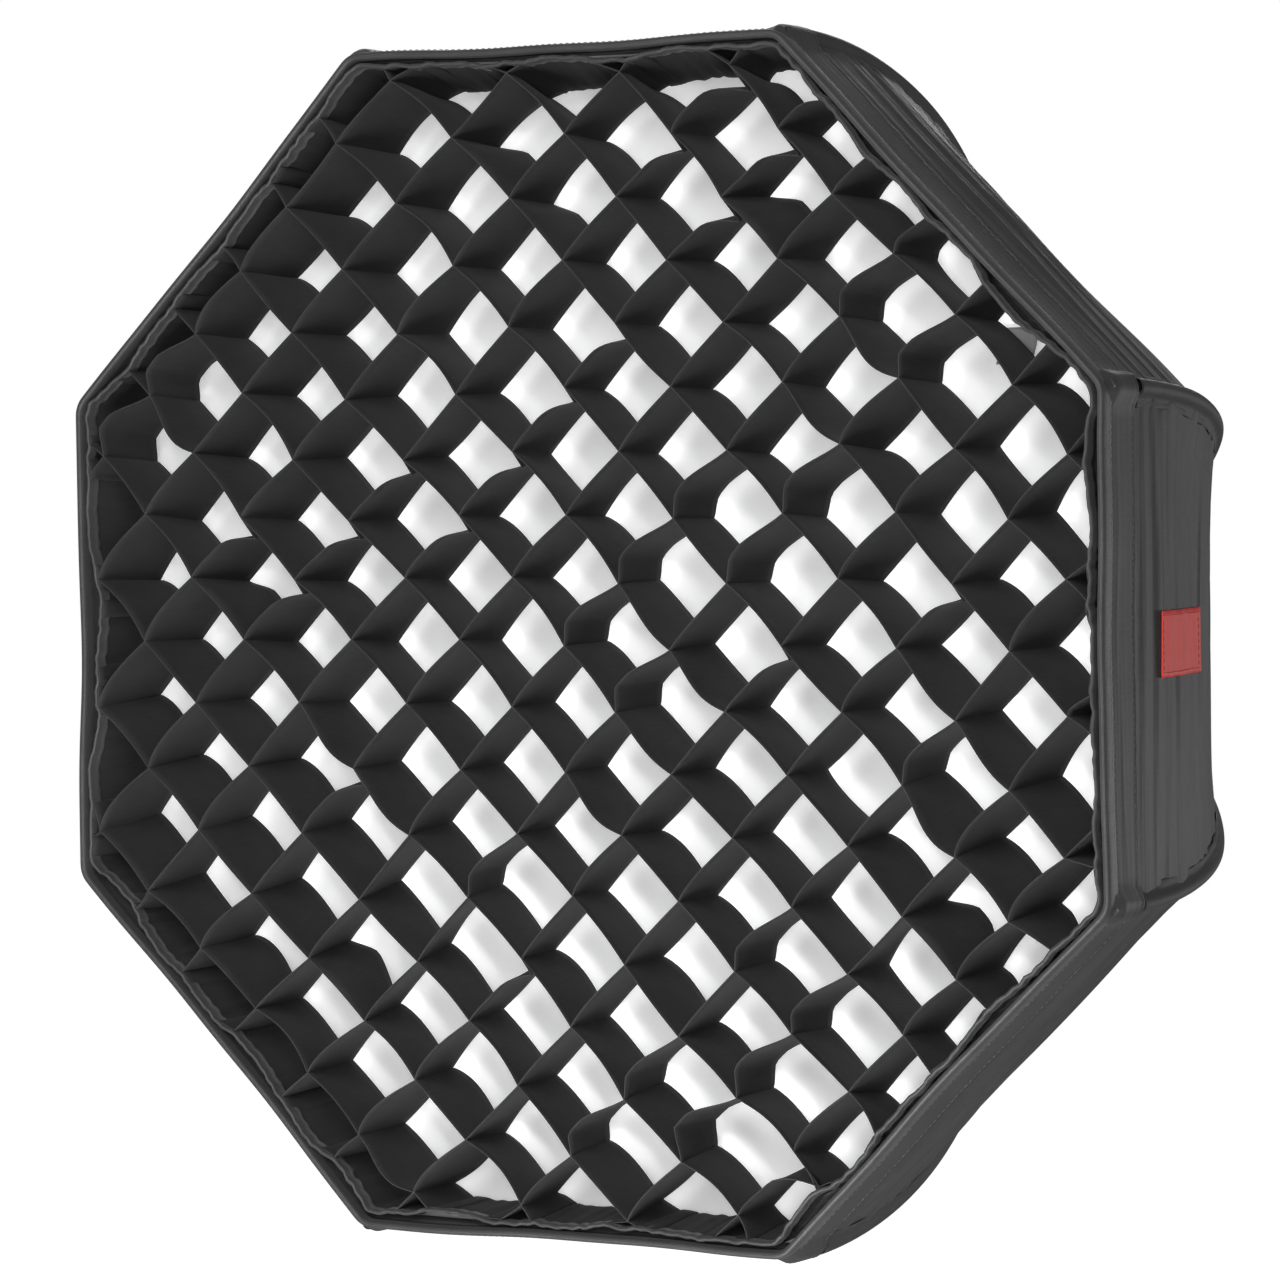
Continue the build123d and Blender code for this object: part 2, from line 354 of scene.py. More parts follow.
def solid_finish(name, colour, roughness, metallic=0.0, grain=400.0, depth=0.15):
    """Metal or moulded plastic, with fine grain in its colour, roughness and bump."""
    material, nodes, links, shader = new_material(name)
    place = nodes.new("ShaderNodeTexCoord")
    grains = noise(nodes, links, place.outputs["Object"], grain, 4.0)
    dark = [c * 0.85 for c in colour]
    light = [min(1.0, c * 1.15) for c in colour]
    links.new(two_tone(nodes, links, grains, dark, light), shader.inputs["Base Color"])
    rough = nodes.new("ShaderNodeMapRange")
    rough.inputs["To Min"].default_value = roughness * 0.8
    rough.inputs["To Max"].default_value = min(1.0, roughness * 1.25)
    links.new(grains, rough.inputs["Value"])
    links.new(rough.outputs["Result"], shader.inputs["Roughness"])
    shader.inputs["Metallic"].default_value = metallic
    links.new(relief(nodes, links, grains, depth, 0.1 * MM), shader.inputs["Normal"])
    return material


GRID_CLOTH = fabric("grid_cloth", (0.021,) * 3, (0.035, 0.035, 0.036), 0.8, 0.6 * MM, 0.25, shine=0.08)
GRID_EDGE = fabric("grid_cut_edge", (0.038,) * 3, (0.055, 0.055, 0.055), 0.8, 0.6 * MM, 0.1, shine=0.1)
SHELL_CLOTH = fabric("shell_cloth", (0.034,) * 3, (0.052, 0.052, 0.053), 0.6, 0.7 * MM, 0.35, wrinkle=0.25,
                     crease=0.5)
LINING = fabric("silver_lining", (0.45,) * 3, (0.62, 0.62, 0.63), 0.4, 0.7 * MM, 0.4, shine=0.5)
SLEEVE_CLOTH = fabric("sleeve_cloth", (0.028,) * 3, (0.044, 0.044, 0.045), 0.65, 0.7 * MM, 0.3, wrinkle=0.3)
BINDING = fabric("binding_tape", (0.024,) * 3, (0.044, 0.044, 0.045), 0.55, 1.1 * MM, 0.6, wrinkle=0.2,
                 sheen=0.12, shine=0.5)
HOOK_TAPE = fabric("hook_and_loop", (0.008,) * 3, (0.017, 0.017, 0.018), 0.95, 1.6 * MM, 0.9, sheen=0.2)
# The diffuser's glow is painted light: white emission that brightens the sheet as if lit through from inside.
DIFFUSER_CLOTH = fabric("diffuser_cloth", (0.86,) * 3, (0.91, 0.91, 0.91), 0.7, 0.5 * MM, 0.1, wrinkle=0.15,
                        painted_glow=0.36)
LABEL_CLOTH = fabric("label_cloth", (0.30,) * 3, (0.38,) * 3, 0.7, 0.5 * MM, 0.2)
TAG_CLOTH = fabric("tag_cloth", (0.84, 0.055, 0.045), (0.95, 0.08, 0.065), 0.6, 0.8 * MM, 0.35)
THREAD = solid_finish("thread", (0.10, 0.10, 0.105), 0.6, grain=2000)
RED_THREAD = solid_finish("red_thread", (0.45, 0.02, 0.02), 0.6, grain=2000)


# ---------------------------------------------------------------- grid
FRONT_DRIFT = [Waves(11, (0.16, 0.16)), Waves(12, (0.16, 0.16))]
BACK_DRIFT = [Waves(13, (0.3, 0.3)), Waves(14, (0.3, 0.3))]
FORWARD_DRIFT = Waves(15, (0.12, 0.12))
BORDER_PUCKER = Waves(16, 0.35)


INDEXES = range(-STRIPS_EACH_SIDE, STRIPS_EACH_SIDE + 1)
# Where the border's front edge sags most: how much, its angle in degrees and its width in radians.
SAGS = ((0.95, 215, 0.8), (0.8, 295, 0.35), (0.9, 35, 0.3))


def strip_ways(family):
    """Directions in (x, z) along a family's strips and across them."""
    turn = math.radians(45 if family == "a" else -45)
    return np.array([math.cos(turn), math.sin(turn)]), np.array([-math.sin(turn), math.cos(turn)])


def half_length(index):
    """Half of a strip's length between the border's two sides."""
    return min(BORDER_APOTHEM, BORDER_APOTHEM * math.sqrt(2) - abs(index) * CELL)


def strip_end(family, index, sign):
    """Where a strip's end meets the border: (x, z)."""
    run, side = strip_ways(family)
    return side * index * CELL + run * sign * half_length(index)


END_ANGLES = np.array([math.atan2(*strip_end(family, index, sign)[::-1])
                       for family in "ab" for sign in (-1, 1) for index in INDEXES])


def tuck(angle, depth):
    """How far the border leans inwards behind its front edge: only that edge is held, and the strips pull.
    It leans most at the top."""
    lean = 6 + 9 * bump(np.mod(angle, 2 * math.pi), math.radians(90), 0.45)
    return lean * MM * ramp(depth, 3 * MM, BORDER_BACK)


def border_pull(angle, depth):
    """(outwards, forwards) of the grid's border: every strip's end pulls it in, and between them its
    front edge sags away from the lip in long lenses."""
    angle = np.asarray(angle)
    whole = np.mod(angle, 2 * math.pi)
    slack = sum((share * bump(whole, math.radians(place), width) for share, place, width in SAGS), 0.15)
    lens = np.clip(round_trip(BORDER_PUCKER, angle, 2) + 0.3, 0, None) * slack
    turn = np.mod(angle[..., None] - END_ANGLES + math.pi, 2 * math.pi) - math.pi
    tugs = np.exp(-(turn * BORDER_APOTHEM / (8 * MM)) ** 2).max(-1)
    near_front = 1 - ramp(depth, 0, 48 * MM)
    inwards = 6.5 * MM * lens * near_front + 1.5 * MM * tugs * (1 - 0.6 * ramp(depth, 10 * MM, 50 * MM))
    return -inwards - tuck(angle, depth), -1.2 * MM * lens * near_front


def border_place(angle, depth):
    """Radius and depth of the grid's border in a direction."""
    inwards, forwards = lip_shift(angle, depth)
    outwards, more_forward = border_pull(angle, depth)
    radius = octagon_radius(BORDER_APOTHEM, angle) - inwards + outwards - 0.6 * MM
    return radius, depth - forwards - more_forward


def crossing(i, j, share):
    """Where strip a_i crosses strip b_j: (x, depth, z), from the front (share 0) to the back (1)."""
    x, z = (j - i) * CELL / math.sqrt(2), (j + i) * CELL / math.sqrt(2)
    reach = math.hypot(x, z) / APOTHEM
    loose = 1.0 + 1.2 * reach ** 3 + 0.5 * max(0.0, (x - z) / APOTHEM)
    front = [2.3 * MM * loose * float(w(x, z)) for w in FRONT_DRIFT]
    back = [1.8 * MM * float(w(x, z)) for w in BACK_DRIFT]
    dx, dz = ((1 - share) * f + share * b for f, b in zip(front, back))
    forward = (1 - share) * 1.2 * MM * float(FORWARD_DRIFT(x, z))
    depth = STRIP_FRONT + share * (STRIP_BACK - STRIP_FRONT) - forward
    angle = math.atan2(z, x)
    flat = round(angle / (2 * HALF)) * 2 * HALF
    room = BORDER_APOTHEM - math.hypot(x, z) * math.cos(angle - flat)
    led = float(tuck(angle, depth)) * max(0.0, 1 - room / (60 * MM)) ** 1.5
    return np.array([x + dx - led * math.cos(flat), depth, z + dz - led * math.sin(flat)])


def strip_nodes(family, index, share):
    """The points that a strip passes through at one height of its cloth: both ends and its crossings."""
    steps = [s for s in INDEXES if abs(s) * CELL < half_length(index)]
    if family == "a":
        inner = [crossing(index, s, share) for s in steps]
    else:
        inner = [crossing(-s, index, share) for s in steps]
    ends = []
    for sign in (-1, 1):
        place = strip_end(family, index, sign)
        angle = math.atan2(place[1], place[0])
        depth = STRIP_FRONT + share * (STRIP_BACK - STRIP_FRONT)
        radius, depth = border_place(angle, depth)
        ends.append(np.array([radius * math.cos(angle), depth, radius * math.sin(angle)]))
    return [ends[0], *inner, ends[1]]


def folded_end(family, index, sign, shares):
    """The last bit of a strip, turned along the border and sewn flat to it."""
    place = strip_end(family, index, sign)
    angle = math.atan2(place[1], place[0])
    way = 1 if (index + (family == "b")) % 2 else -1
    columns = []
    for reach in (1.2 * MM, 4 * MM, 7.5 * MM, STRIP_TURN):
        turned = angle + way * reach / np.hypot(*place)
        rows = []
        for share in shares:
            radius, depth = border_place(turned, STRIP_FRONT + share * (STRIP_BACK - STRIP_FRONT))
            radius = radius - (0.9 if reach < STRIP_TURN else 0.5) * MM
            rows.append([radius * math.cos(turned), depth, radius * math.sin(turned)])
        columns.append(rows)
    return np.array(columns).transpose(1, 0, 2)


def skewed(t, peak):
    """A smooth bow between 0 and 1 whose highest point is at `peak`."""
    return np.sin(math.pi * t ** (math.log(0.5) / math.log(peak)))


def creased(t, first, last):
    """A bow with two soft creases: it rises until `first` and falls from `last`."""
    flat = np.minimum(np.minimum(t / first, (1 - t) / (1 - last)), 1)
    return 0.65 * flat + 0.35 * flat * flat * (3 - 2 * flat)


def hooked(t):
    """A stretch that runs nearly straight, then slides down along the strip it meets before it turns back."""
    return 0.12 * ramp(t, 0, 0.5) + 0.88 * np.clip((t - 0.5) / 0.465, 0, 1) ** 1.9


BUCKLE = {"a": Waves(31, (0.11, 0.11)), "b": Waves(38, (0.10, 0.12))}


def stretch_bow(family, rng, t, share, x, z):
    """How far a stretch between two crossings stands off its straight line, along it and up its cloth."""
    loose = 1 + 1.0 * (math.hypot(x, z) / APOTHEM) ** 4
    mood = float(BUCKLE[family](x, z)) * (1 + 0.25 * (x - z) / APOTHEM)
    front, back = 1 - share, share
    a, b, c, d = rng.normal(0, 1, 4)
    if family == "a":
        bow = (2.0 + 1.1 * a) * front * skewed(t, 0.36) + (0.5 + 1.2 * b) * back * skewed(t, 0.5)
        if mood > 0.72:
            bow = bow * 0.8 - (12.5 + 2.0 * c) * hooked(t) * front ** 1.2
        elif mood < -0.75:
            bow = bow * 0.3 + (8.0 + 1.2 * c) * creased(t, 0.20 + 0.03 * d, 0.40) * (1 - 0.25 * share)
    else:
        bow = (0.7 + 1.0 * a) * front * skewed(t, 0.5) + (2.0 + 1.5 * b) * back * skewed(t, 0.40)
        if mood > 0.85:
            bow = bow * 0.4 + (6.5 + 1.2 * c) * creased(t, 0.35, 0.55 + 0.05 * d) * back ** 0.7
        elif mood < -0.9:
            bow = bow * 0.4 - (4.0 + c) * skewed(t, 0.6) * front
    return bow * loose * MM


def strip_points(family, index, steps=16, heights=9):
    """The strip's surface: every stretch between two crossings buckles its own way."""
    rng = np.random.default_rng(1000 * (family == "b") + 40 + index)
    side = np.insert(strip_ways(family)[1], 1, 0.0)
    shares = np.linspace(0, 1, heights)
    lines = np.array([strip_nodes(family, index, s) for s in shares])
    even = np.linspace(0, 1, steps + 1)[:-1]
    t = 0.5 * ((1 - np.cos(math.pi * even)) / 2) + 0.5 * even
    pieces = []
    for k in range(lines.shape[1] - 1):
        start, end = lines[:, k, None], lines[:, k + 1, None]
        x, z = (lines[0, k] + lines[0, k + 1])[[0, 2]] / 2
        short = np.minimum(1, (np.linalg.norm(end - start, axis=2) / CELL) ** 2)
        bow = stretch_bow(family, rng, t[None], shares[:, None], x, z) * short
        dip = abs(rng.normal(0, 0.7)) * MM * np.sin(math.pi * t)[None] * (1 - 2 * shares[:, None])
        piece = start + (end - start) * t[None, :, None] + side * bow[..., None]
        piece[..., 1] += dip
        pieces.append(piece)
    start, end = (folded_end(family, index, sign, shares) for sign in (-1, 1))
    points = np.concatenate([start[:, ::-1], *pieces, lines[:, -1:], end], axis=1)
    points[..., 1] += FRONT_Y
    return points


def grid_strip(family, number):
    node = f"grid_strip_{family}_{number:02d}"
    points = strip_points(family, number - STRIPS_EACH_SIDE - 1)
    strip = surface(f"strip_{family}_{number:02d}", points, [GRID_CLOTH, GRID_EDGE])
    thicken(strip, 0.5 * MM, rim=1)
    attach(strip, "grid")
    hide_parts(node)
    return strip


def grid_border():
    """The band that the strips are sewn to, with its bound front edge and its hook tape."""
    depths = np.linspace(BORDER_FRONT, BORDER_BACK, 14)
    out = BORDER_APOTHEM - APOTHEM
    crease = Waves(21, (0.02, 0.2))

    def pulled(angle, depth):
        outwards, forwards = border_pull(angle, depth)
        return outwards + 0.5 * MM * crease(angle, depth), forwards

    def band(name, profile, materials):
        return lip_ring(name, profile, materials, corner=22 * MM, follow_bow=False, extra=pulled,
                        closed_profile=False, along=110)

    cloth = band("grid_border_cloth", [(out, d) for d in depths], [GRID_CLOTH, GRID_EDGE])
    thicken(cloth, 0.9 * MM)
    fold = [(out + x * MM, y * MM) for x, y in
            [(0.9, 9.5), (1.1, 5), (1.0, 1.6), (0.3, 0.6), (-0.5, 0.6), (-0.95, 1.6), (-1.0, 5), (-0.8, 9.5)]]
    edge = thicken(band("grid_edge_binding", fold, [BINDING, GRID_EDGE]), 0.5 * MM)
    tape = [(out + 0.9 * MM, y * MM) for y in (13, 18, 23, 28, 33)]
    hooks = thicken(band("grid_hooks", tape, [HOOK_TAPE]), 1.0 * MM)
    for piece, node, slot in ((cloth, "grid_border", "grid_fabric"), (edge, "grid_binding", "binding_tape"),
                              (hooks, "grid_hook_tape", "hook_and_loop")):
        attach(piece, "grid")
        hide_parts(node)


# ---------------------------------------------------------------- shell
def slope_at(depth):
    """Angle of the bow from the axis at a depth."""
    return np.arcsin(np.clip((depth - LIP) / CURVE_R, 0, 1))


def bow_depths(start, end, count):
    """Depths spaced evenly along the bow between two depths."""
    fine = np.linspace(start, end, 800)
    step = np.hypot(np.diff(fine), np.diff(corner_radius_at(fine)))
    run = np.concatenate([[0], np.cumsum(step)])
    return np.interp(np.linspace(0, run[-1], count), run, fine)


def panel_creases(number, run, u):
    """Tension creases across a panel, seeded by its number: how far they stand proud."""
    rng = np.random.default_rng(70 + number)
    ridges, place = 0.0, 52 * MM
    while place < 480 * MM:
        slant, sway = rng.normal(0, 7) * MM, rng.normal(0, 4) * MM
        height = rng.uniform(1.0, 3.2) * MM
        width = rng.uniform(2.0, 5.0) * MM
        centre = place + slant * u + sway * u ** 2 + rng.normal(0, 2) * MM * np.sin(3 * u + rng.uniform(0, 6))
        fade = 0.35 + 0.65 * np.cos(math.pi / 2 * np.clip(u - rng.uniform(-0.5, 0.5), -1, 1)) ** 2
        ridges = ridges + height * fade * np.exp(-((run - centre) / width) ** 2)
        place += rng.uniform(16, 34) * MM
    return ridges


def panel_points(number, flat, depths, u, proud=0.0):
    """Points of one gore: pulled tight between two rods, it sinks in its middle and creases across."""
    corner = corner_radius_at(depths)
    half_width, apothem = corner * math.sin(HALF), corner * math.cos(HALF)
    slope = slope_at(depths)
    run = np.where(depths > LIP, LIP + CURVE_R * slope, depths)
    sink = 7 * MM * ramp(run, 78 * MM, 215 * MM) * half_width / (138 * MM) * (1 - u ** 2)
    behind_hem = ramp(run, 45 * MM, 90 * MM)
    edge = np.exp(-((1 - np.abs(u)) * half_width / (16 * MM)) ** 1.5)
    before_collar = 1 - 0.7 * ramp(run, 430 * MM, 500 * MM)
    push = panel_creases(number, run, u) * (0.7 + 0.3 * behind_hem) * before_collar
    push = push + 0.9 * MM * Waves(90 + number, (0.016, 0.6))(run, u * 0.1) * edge * behind_hem
    push = push + 1.1 * MM * Waves(120 + number, (0.13, 0.9))(run, u) * (1 - u ** 4) * behind_hem
    push = push - sink + proud
    t = u * half_width
    angle = flat + np.arctan2(t, apothem)
    inwards, forwards = lip_shift(angle, depths)
    out = apothem + push * np.cos(slope) - inwards
    depth = depths + push * np.sin(slope) - forwards
    x = out * math.cos(flat) - t * math.sin(flat)
    z = out * math.sin(flat) + t * math.cos(flat)
    return np.stack([x, FRONT_Y + depth, z], axis=-1), half_width, run


def shell_panel(number, flat, rows=180, cols=36):
    """One gore of the shell: black cloth outside, silver lining inside."""
    depths = bow_depths(2 * MM, SHELL_BACK - 1 * MM, rows)[:, None]
    points, half_width, run = panel_points(number, flat, depths, np.linspace(-1, 1, cols)[None, :])
    panel = surface(f"panel_cloth_{number}", points, [SHELL_CLOTH, LINING])
    thicken(panel, 0.7 * MM, offset=-1, inside=1)
    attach(panel, "softbox")
    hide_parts(f"shell_panel_{number}")
    return panel


def rib_sleeve(number, corner, rows=120):
    """The sleeve over one rod: a round welt with a sewn flange on each side."""
    depths = bow_depths(42 * MM, SHELL_BACK - 4 * MM, rows)
    welt = 4.3 * MM
    pucker = Waves(200 + number, 0.022)
    waver = Waves(230 + number, 0.15)
    side_a = np.array([-math.cos(HALF), -math.sin(HALF)])
    side_b = np.array([math.cos(HALF), -math.sin(HALF)])
    out_a = np.array([-math.sin(HALF), math.cos(HALF)])
    out_b = np.array([math.sin(HALF), math.cos(HALF)])
    flange = ((10.5, -0.2), (9.5, 0.5), (7.4, 0.4), (5.6, 0.3))  # reach and lift in mm, from its edge
    section = [(side_a * reach * MM + out_a * lift * MM, reach) for reach, lift in flange]
    section += [(np.array([math.sin(turn), math.cos(turn)]) * welt, 0)
                for turn in np.radians(np.linspace(-72, 72, 9))]
    section += [(side_b * reach * MM + out_b * lift * MM, reach) for reach, lift in reversed(flange)]
    points = np.zeros((rows, len(section), 3))
    run = np.arange(rows) * 4.6 * MM  # roughly the distance along the rod
    for row, depth in enumerate(depths):
        radius = corner_radius_at(depth)
        slope = slope_at(depth)
        flare = 1 + 0.10 * float(waver(run[row]))
        for column, (offset, reach) in enumerate(section):
            t, n = offset * flare
            n += 0.5 * MM * float(pucker(run[row] + 0.3 * reach)) * (reach > 7)
            sink = 0.35 * MM if reach > 7 else 0.0
            r = radius + (n - sink) * math.cos(slope)
            y = FRONT_Y + depth + (n - sink) * math.sin(slope)
            points[row, column] = (r * math.cos(corner) - t * math.sin(corner), y,
                                   r * math.sin(corner) + t * math.cos(corner))
    sleeve = surface(f"rib_sleeve_{number}", points, [SLEEVE_CLOTH])
    thicken(smooth(sleeve), 0.6 * MM)
    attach(sleeve, "softbox")
    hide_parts("rod_sleeves")
    return sleeve


def hem():
    """The doubled front hem, which swells over each rod tip into a pocket with an open mouth."""
    swell = 5.2 * MM

    def over_tips(angle, depth):
        away = np.abs(np.mod(angle - HALF, 2 * HALF))
        away = np.minimum(away, 2 * HALF - away) * CORNER_R
        lift = swell * np.sqrt(np.clip(1 - (away / (9 * MM)) ** 2, 0, None)) * ramp(depth, 2 * MM, 12 * MM)
        arch = np.exp(-(away / (7 * MM)) ** 2)
        back = 3.5 * MM * arch * ramp(depth, 30 * MM, HEM_BACK)
        seam = 0.25 * MM * np.sin(angle * 190) * ramp(depth, 30 * MM, HEM_BACK)
        return lift * 0.8 + seam, back

    depths = np.array([1.5, 4, 8, 12, 16, 20, 24, 28, 32, 34, 36, 37.4, 39]) * MM
    lifts = np.array([0.9, 1.0, 1.0, 1.0, 1.1, 1.1, 1.1, 1.1, 1.1, 0.75, 0.8, 1.2, 1.2]) * MM
    rows = list(zip(lifts, depths))
    band = lip_ring("shell_hem", rows, [SHELL_CLOTH], corner=9 * MM, extra=over_tips, closed_profile=False)
    thicken(band, 0.8 * MM, offset=1)
    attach(band, "softbox")
    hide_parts("corner_pockets")
    return band


def rim_binding():
    """Tape folded over the lip's front edge, with its two sewn edges."""
    fold = [(2.3, 9.6), (2.7, 8), (2.6, 4), (2.2, 0.6), (1.0, -0.7), (-0.6, -0.9), (-1.9, 0.3), (-2.3, 3),
            (-2.4, 8), (-2.2, 9.6), (-1.4, 9.2), (-1.2, 3), (-0.6, 1.2), (1.0, 1.3), (1.4, 3), (1.5, 9.2)]
    profile = [(x * MM, y * MM) for x, y in fold]
    tape = lip_ring("rim_tape", profile, [BINDING], corner=14 * MM)
    smooth(tape)
    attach(tape, "softbox")
    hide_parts("rim_binding")
    return tape


def loop_tapes():
    """The two rows of loop tape inside the lip: the front one holds the grid, the rear one the diffuser."""
    tapes = []
    for name, out, start, end in (("loop_tape_front", -2.4, 6, 30), ("loop_tape_rear", -2.6, 62, 84)):
        profile = [(out * MM, d * MM) for d in np.linspace(start, end, 6)]
        tape = lip_ring(name, profile, [HOOK_TAPE], corner=10 * MM, closed_profile=False)
        thicken(tape, 0.9 * MM)
        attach(tape, "softbox")
        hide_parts("loop_tape")
        tapes.append(tape)
    return tapes


def lip():
    """The front hem as one flat band of cloth, with the tapes that are sewn to it."""
    band, rim, loops = hem(), rim_binding(), loop_tapes()


def back_collar():
    """Elastic fabric collar that closes the shell round the speed ring, gathered between the sockets."""
    cols = 8 * 40
    angle = np.linspace(0, 2 * math.pi, cols, endpoint=False)
    gather = np.sin(angle * 72 + 1.5 * np.sin(angle * 8)) * 0.9 * MM
    over_socket = np.cos((angle - HALF) * SIDES)
    profile = [(105.5, 466), (104, 471), (103, 476), (101.6, 480),
               (100.6, 483.5), (99.0, 485.2), (97.4, 483.6), (97.0, 480)]  # radius and depth in mm
    rows = []
    for i, (radius, depth) in enumerate(profile):
        octagonal = octagon_radius(radius * MM * math.cos(HALF), angle)
        bulge = 6.5 * MM * np.clip(over_socket, 0, 1) ** 4 + 3.0 * MM if i else 0.0
        share = min(1.0, i / 3)
        rows.append(polar(octagonal + bulge + gather * share, angle, depth * MM))
    collar = surface("shell_collar", np.array(rows), [SLEEVE_CLOTH], closed=True)
    thicken(smooth(collar), 0.9 * MM)
    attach(collar, "softbox")
    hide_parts("back_collar")
    return collar


def maker_tag():
    """A plain red woven patch on the right-hand panel, sewn down all round."""
    low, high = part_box("maker_tag")
    depths = np.linspace(low.y - FRONT_Y, high.y - FRONT_Y, 40)[:, None]
    u = np.linspace(low.z, high.z, 16)[None, :] / (corner_radius_at(depths) * math.sin(HALF))
    tag = surface("red_patch", panel_points(1, 0.0, depths, u, proud=0.9 * MM)[0], [TAG_CLOTH])
    thicken(tag, 0.7 * MM, offset=-1)
    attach(tag, "softbox")
    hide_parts("maker_tag")
    edges = []
    for fixed in (0.07, 0.93):
        across = u[:, :1] + (u[:, -1:] - u[:, :1]) * fixed
        edges.append(panel_points(1, 0.0, depths[1:-1], across[1:-1], proud=1.2 * MM)[0][:, 0])
    for row in (2, len(depths) - 3):
        edges.append(panel_points(1, 0.0, depths[row:row + 1], u[row:row + 1, 1:-1], proud=1.2 * MM)[0][0])
    outward = [np.tile((1.0, 0.0, 0.0), (len(edge), 1)) for edge in edges]
    stitches("patch_stitches", list(zip(edges, outward)), RED_THREAD, "softbox")
    return tag


# ---------------------------------------------------------------- diffuser
def diffuser():
    """The white front sheet: taut at its hem, with soft folds that run in from the corners."""
    half_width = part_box("diffuser_sheet")[1].x
    apothem = half_width - 0.4 * MM
    places, _, angle = octagon(apothem, 26 * MM, along=22, around=6)
    rim = np.linalg.norm(places, axis=1)
    shares = np.linspace(0.0, 1.0, 60)[1:, None]
    radius = rim[None, :] * shares
    x, z = radius * np.cos(angle), radius * np.sin(angle)
    broad, fine, pull = Waves(301, (0.22, 0.22)), Waves(302, (0.07, 0.09)), Waves(303, (0.5, 0.035))
    slack = (1 - shares ** 6)
    lift = (2.2 * MM * broad(x, z) + 0.7 * MM * fine(x, z)) * slack
    lift = lift + 1.3 * MM * pull(radius, angle * 0.35) * shares ** 2 * slack
    depth = DIFFUSER_DEPTH + 0.6 * MM + lift
    points = polar(radius, angle[None, :], depth)
    sheet = surface("diffuser_cloth_sheet", points, [DIFFUSER_CLOTH], closed=True)
    close_middle(sheet, points.shape[1], float(depth[0].mean()))
    thicken(sheet, 0.5 * MM)
    out = half_width - APOTHEM - 1.0 * MM
    hem_profile = ((0, 66.2), (0.3, 67), (0.3, 72), (0.3, 78), (0.3, 84))
    hem_rows = [(out + proud * MM, back * MM) for proud, back in hem_profile]
    band = lip_ring("diffuser_edge", hem_rows, [DIFFUSER_CLOTH], corner=26 * MM, follow_bow=False,
                    closed_profile=False)
    thicken(band, 1.0 * MM)
    for piece, node in ((sheet, "diffuser_sheet"), (band, "diffuser_hem")):
        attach(piece, "diffuser")
        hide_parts(node)
    diffuser_label()


def diffuser_label():
    """A small plain grey care label, sewn to the diffuser near its upper right corner by one edge."""
    t, rise = np.meshgrid(np.linspace(-1, 1, 9), np.linspace(0, 1, 9))
    x = LABEL_PLACE[0] + 11 * MM * t - 3 * MM * rise
    z = LABEL_PLACE[1] + 10 * MM - 20 * MM * rise
    depth = DIFFUSER_DEPTH - 1.6 * MM - 3.5 * MM * rise ** 2 * (1 + 0.2 * t)
    label = surface("care_label", np.stack([x, FRONT_Y + depth, z], axis=-1), [LABEL_CLOTH])
    thicken(label, 0.4 * MM)
    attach(label, "diffuser")


def close_middle(obj, count, depth):
    """Fills the small hole at the middle of a sheet made of rings."""
    mesh = obj.data
    work = bmesh.new()
    work.from_mesh(mesh)
    work.verts.ensure_lookup_table()
    ring = work.verts[:count]
    centre = work.verts.new((0, FRONT_Y + depth, 0))
    layer = work.loops.layers.uv.active
    sample = work.faces[:][0].normal.y
    for i in range(count):
        a, b = ring[i], ring[(i + 1) % count]
        face = work.faces.new((centre, a, b))
        face.normal_update()
        if face.normal.y * sample < 0:
            face.normal_flip()
        face.smooth = True
        for loop in face.loops:
            loop[layer].uv = (0, 0)
    work.to_mesh(mesh)
    work.free()


# ---------------------------------------------------------------- stitching
def stitches(name, lines, material, body, length=2.6 * MM, gap=1.4 * MM, size=0.45 * MM):
    """Rows of single stitches along lines of (point, outward normal) pairs."""
    verts, faces = [], []
    for points, normals in lines:
        points, normals = np.array(points), np.array(normals)
        run = np.concatenate([[0], np.cumsum(np.linalg.norm(np.diff(points, axis=0), axis=1))])
        start = gap
        while start + length < run[-1]:
            ends = np.array([[np.interp(s, run, points[:, k]) for k in range(3)]
                             for s in (start, start + length / 2, start + length)])
            normal = np.array([np.interp(start, run, normals[:, k]) for k in range(3)])
            normal /= np.linalg.norm(normal)
            along = ends[2] - ends[0]
            along /= np.linalg.norm(along)
            side = np.cross(along, normal)
            base = len(verts)
            for where, rise, wide in ((ends[0], -0.2, 0.5), (ends[1], 0.7, 1.0), (ends[2], -0.2, 0.5)):
                for s, n in ((-1, 0), (0, 1), (1, 0), (0, -1)):
                    verts.append(where + (side * s * wide + normal * (n * wide + rise)) * size / 2)
            for ring in (base, base + 4):
                for c in range(4):
                    d = (c + 1) % 4
                    faces.append([ring + c, ring + d, ring + 4 + d, ring + 4 + c])
            faces.append([base + 3, base + 2, base + 1, base])
            faces.append([base + 8, base + 9, base + 10, base + 11])
            start += length + gap
    uvs = [(0.0, 0.0)] * sum(len(f) for f in faces)
    obj = make_object(name, verts, faces, uvs, [material])
    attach(obj, body)
    return obj


def lip_line(out, depth, corner=14 * MM):
    """A closed line round the lip and its outward normals, for stitches."""
    drop = (CORNER_R - corner_radius_at(depth)) * math.cos(HALF)
    places, normals, angle = octagon(APOTHEM + out - drop, corner)
    inwards, forwards = lip_shift(angle, depth)
    flat = places - normals * inwards[:, None]
    points = np.stack([flat[:, 0], FRONT_Y + depth - forwards, flat[:, 1]], axis=-1)
    outward = np.stack([normals[:, 0], 0 * angle, normals[:, 1]], axis=-1)
    return np.concatenate([points, points[:1]]), np.concatenate([outward, outward[:1]])


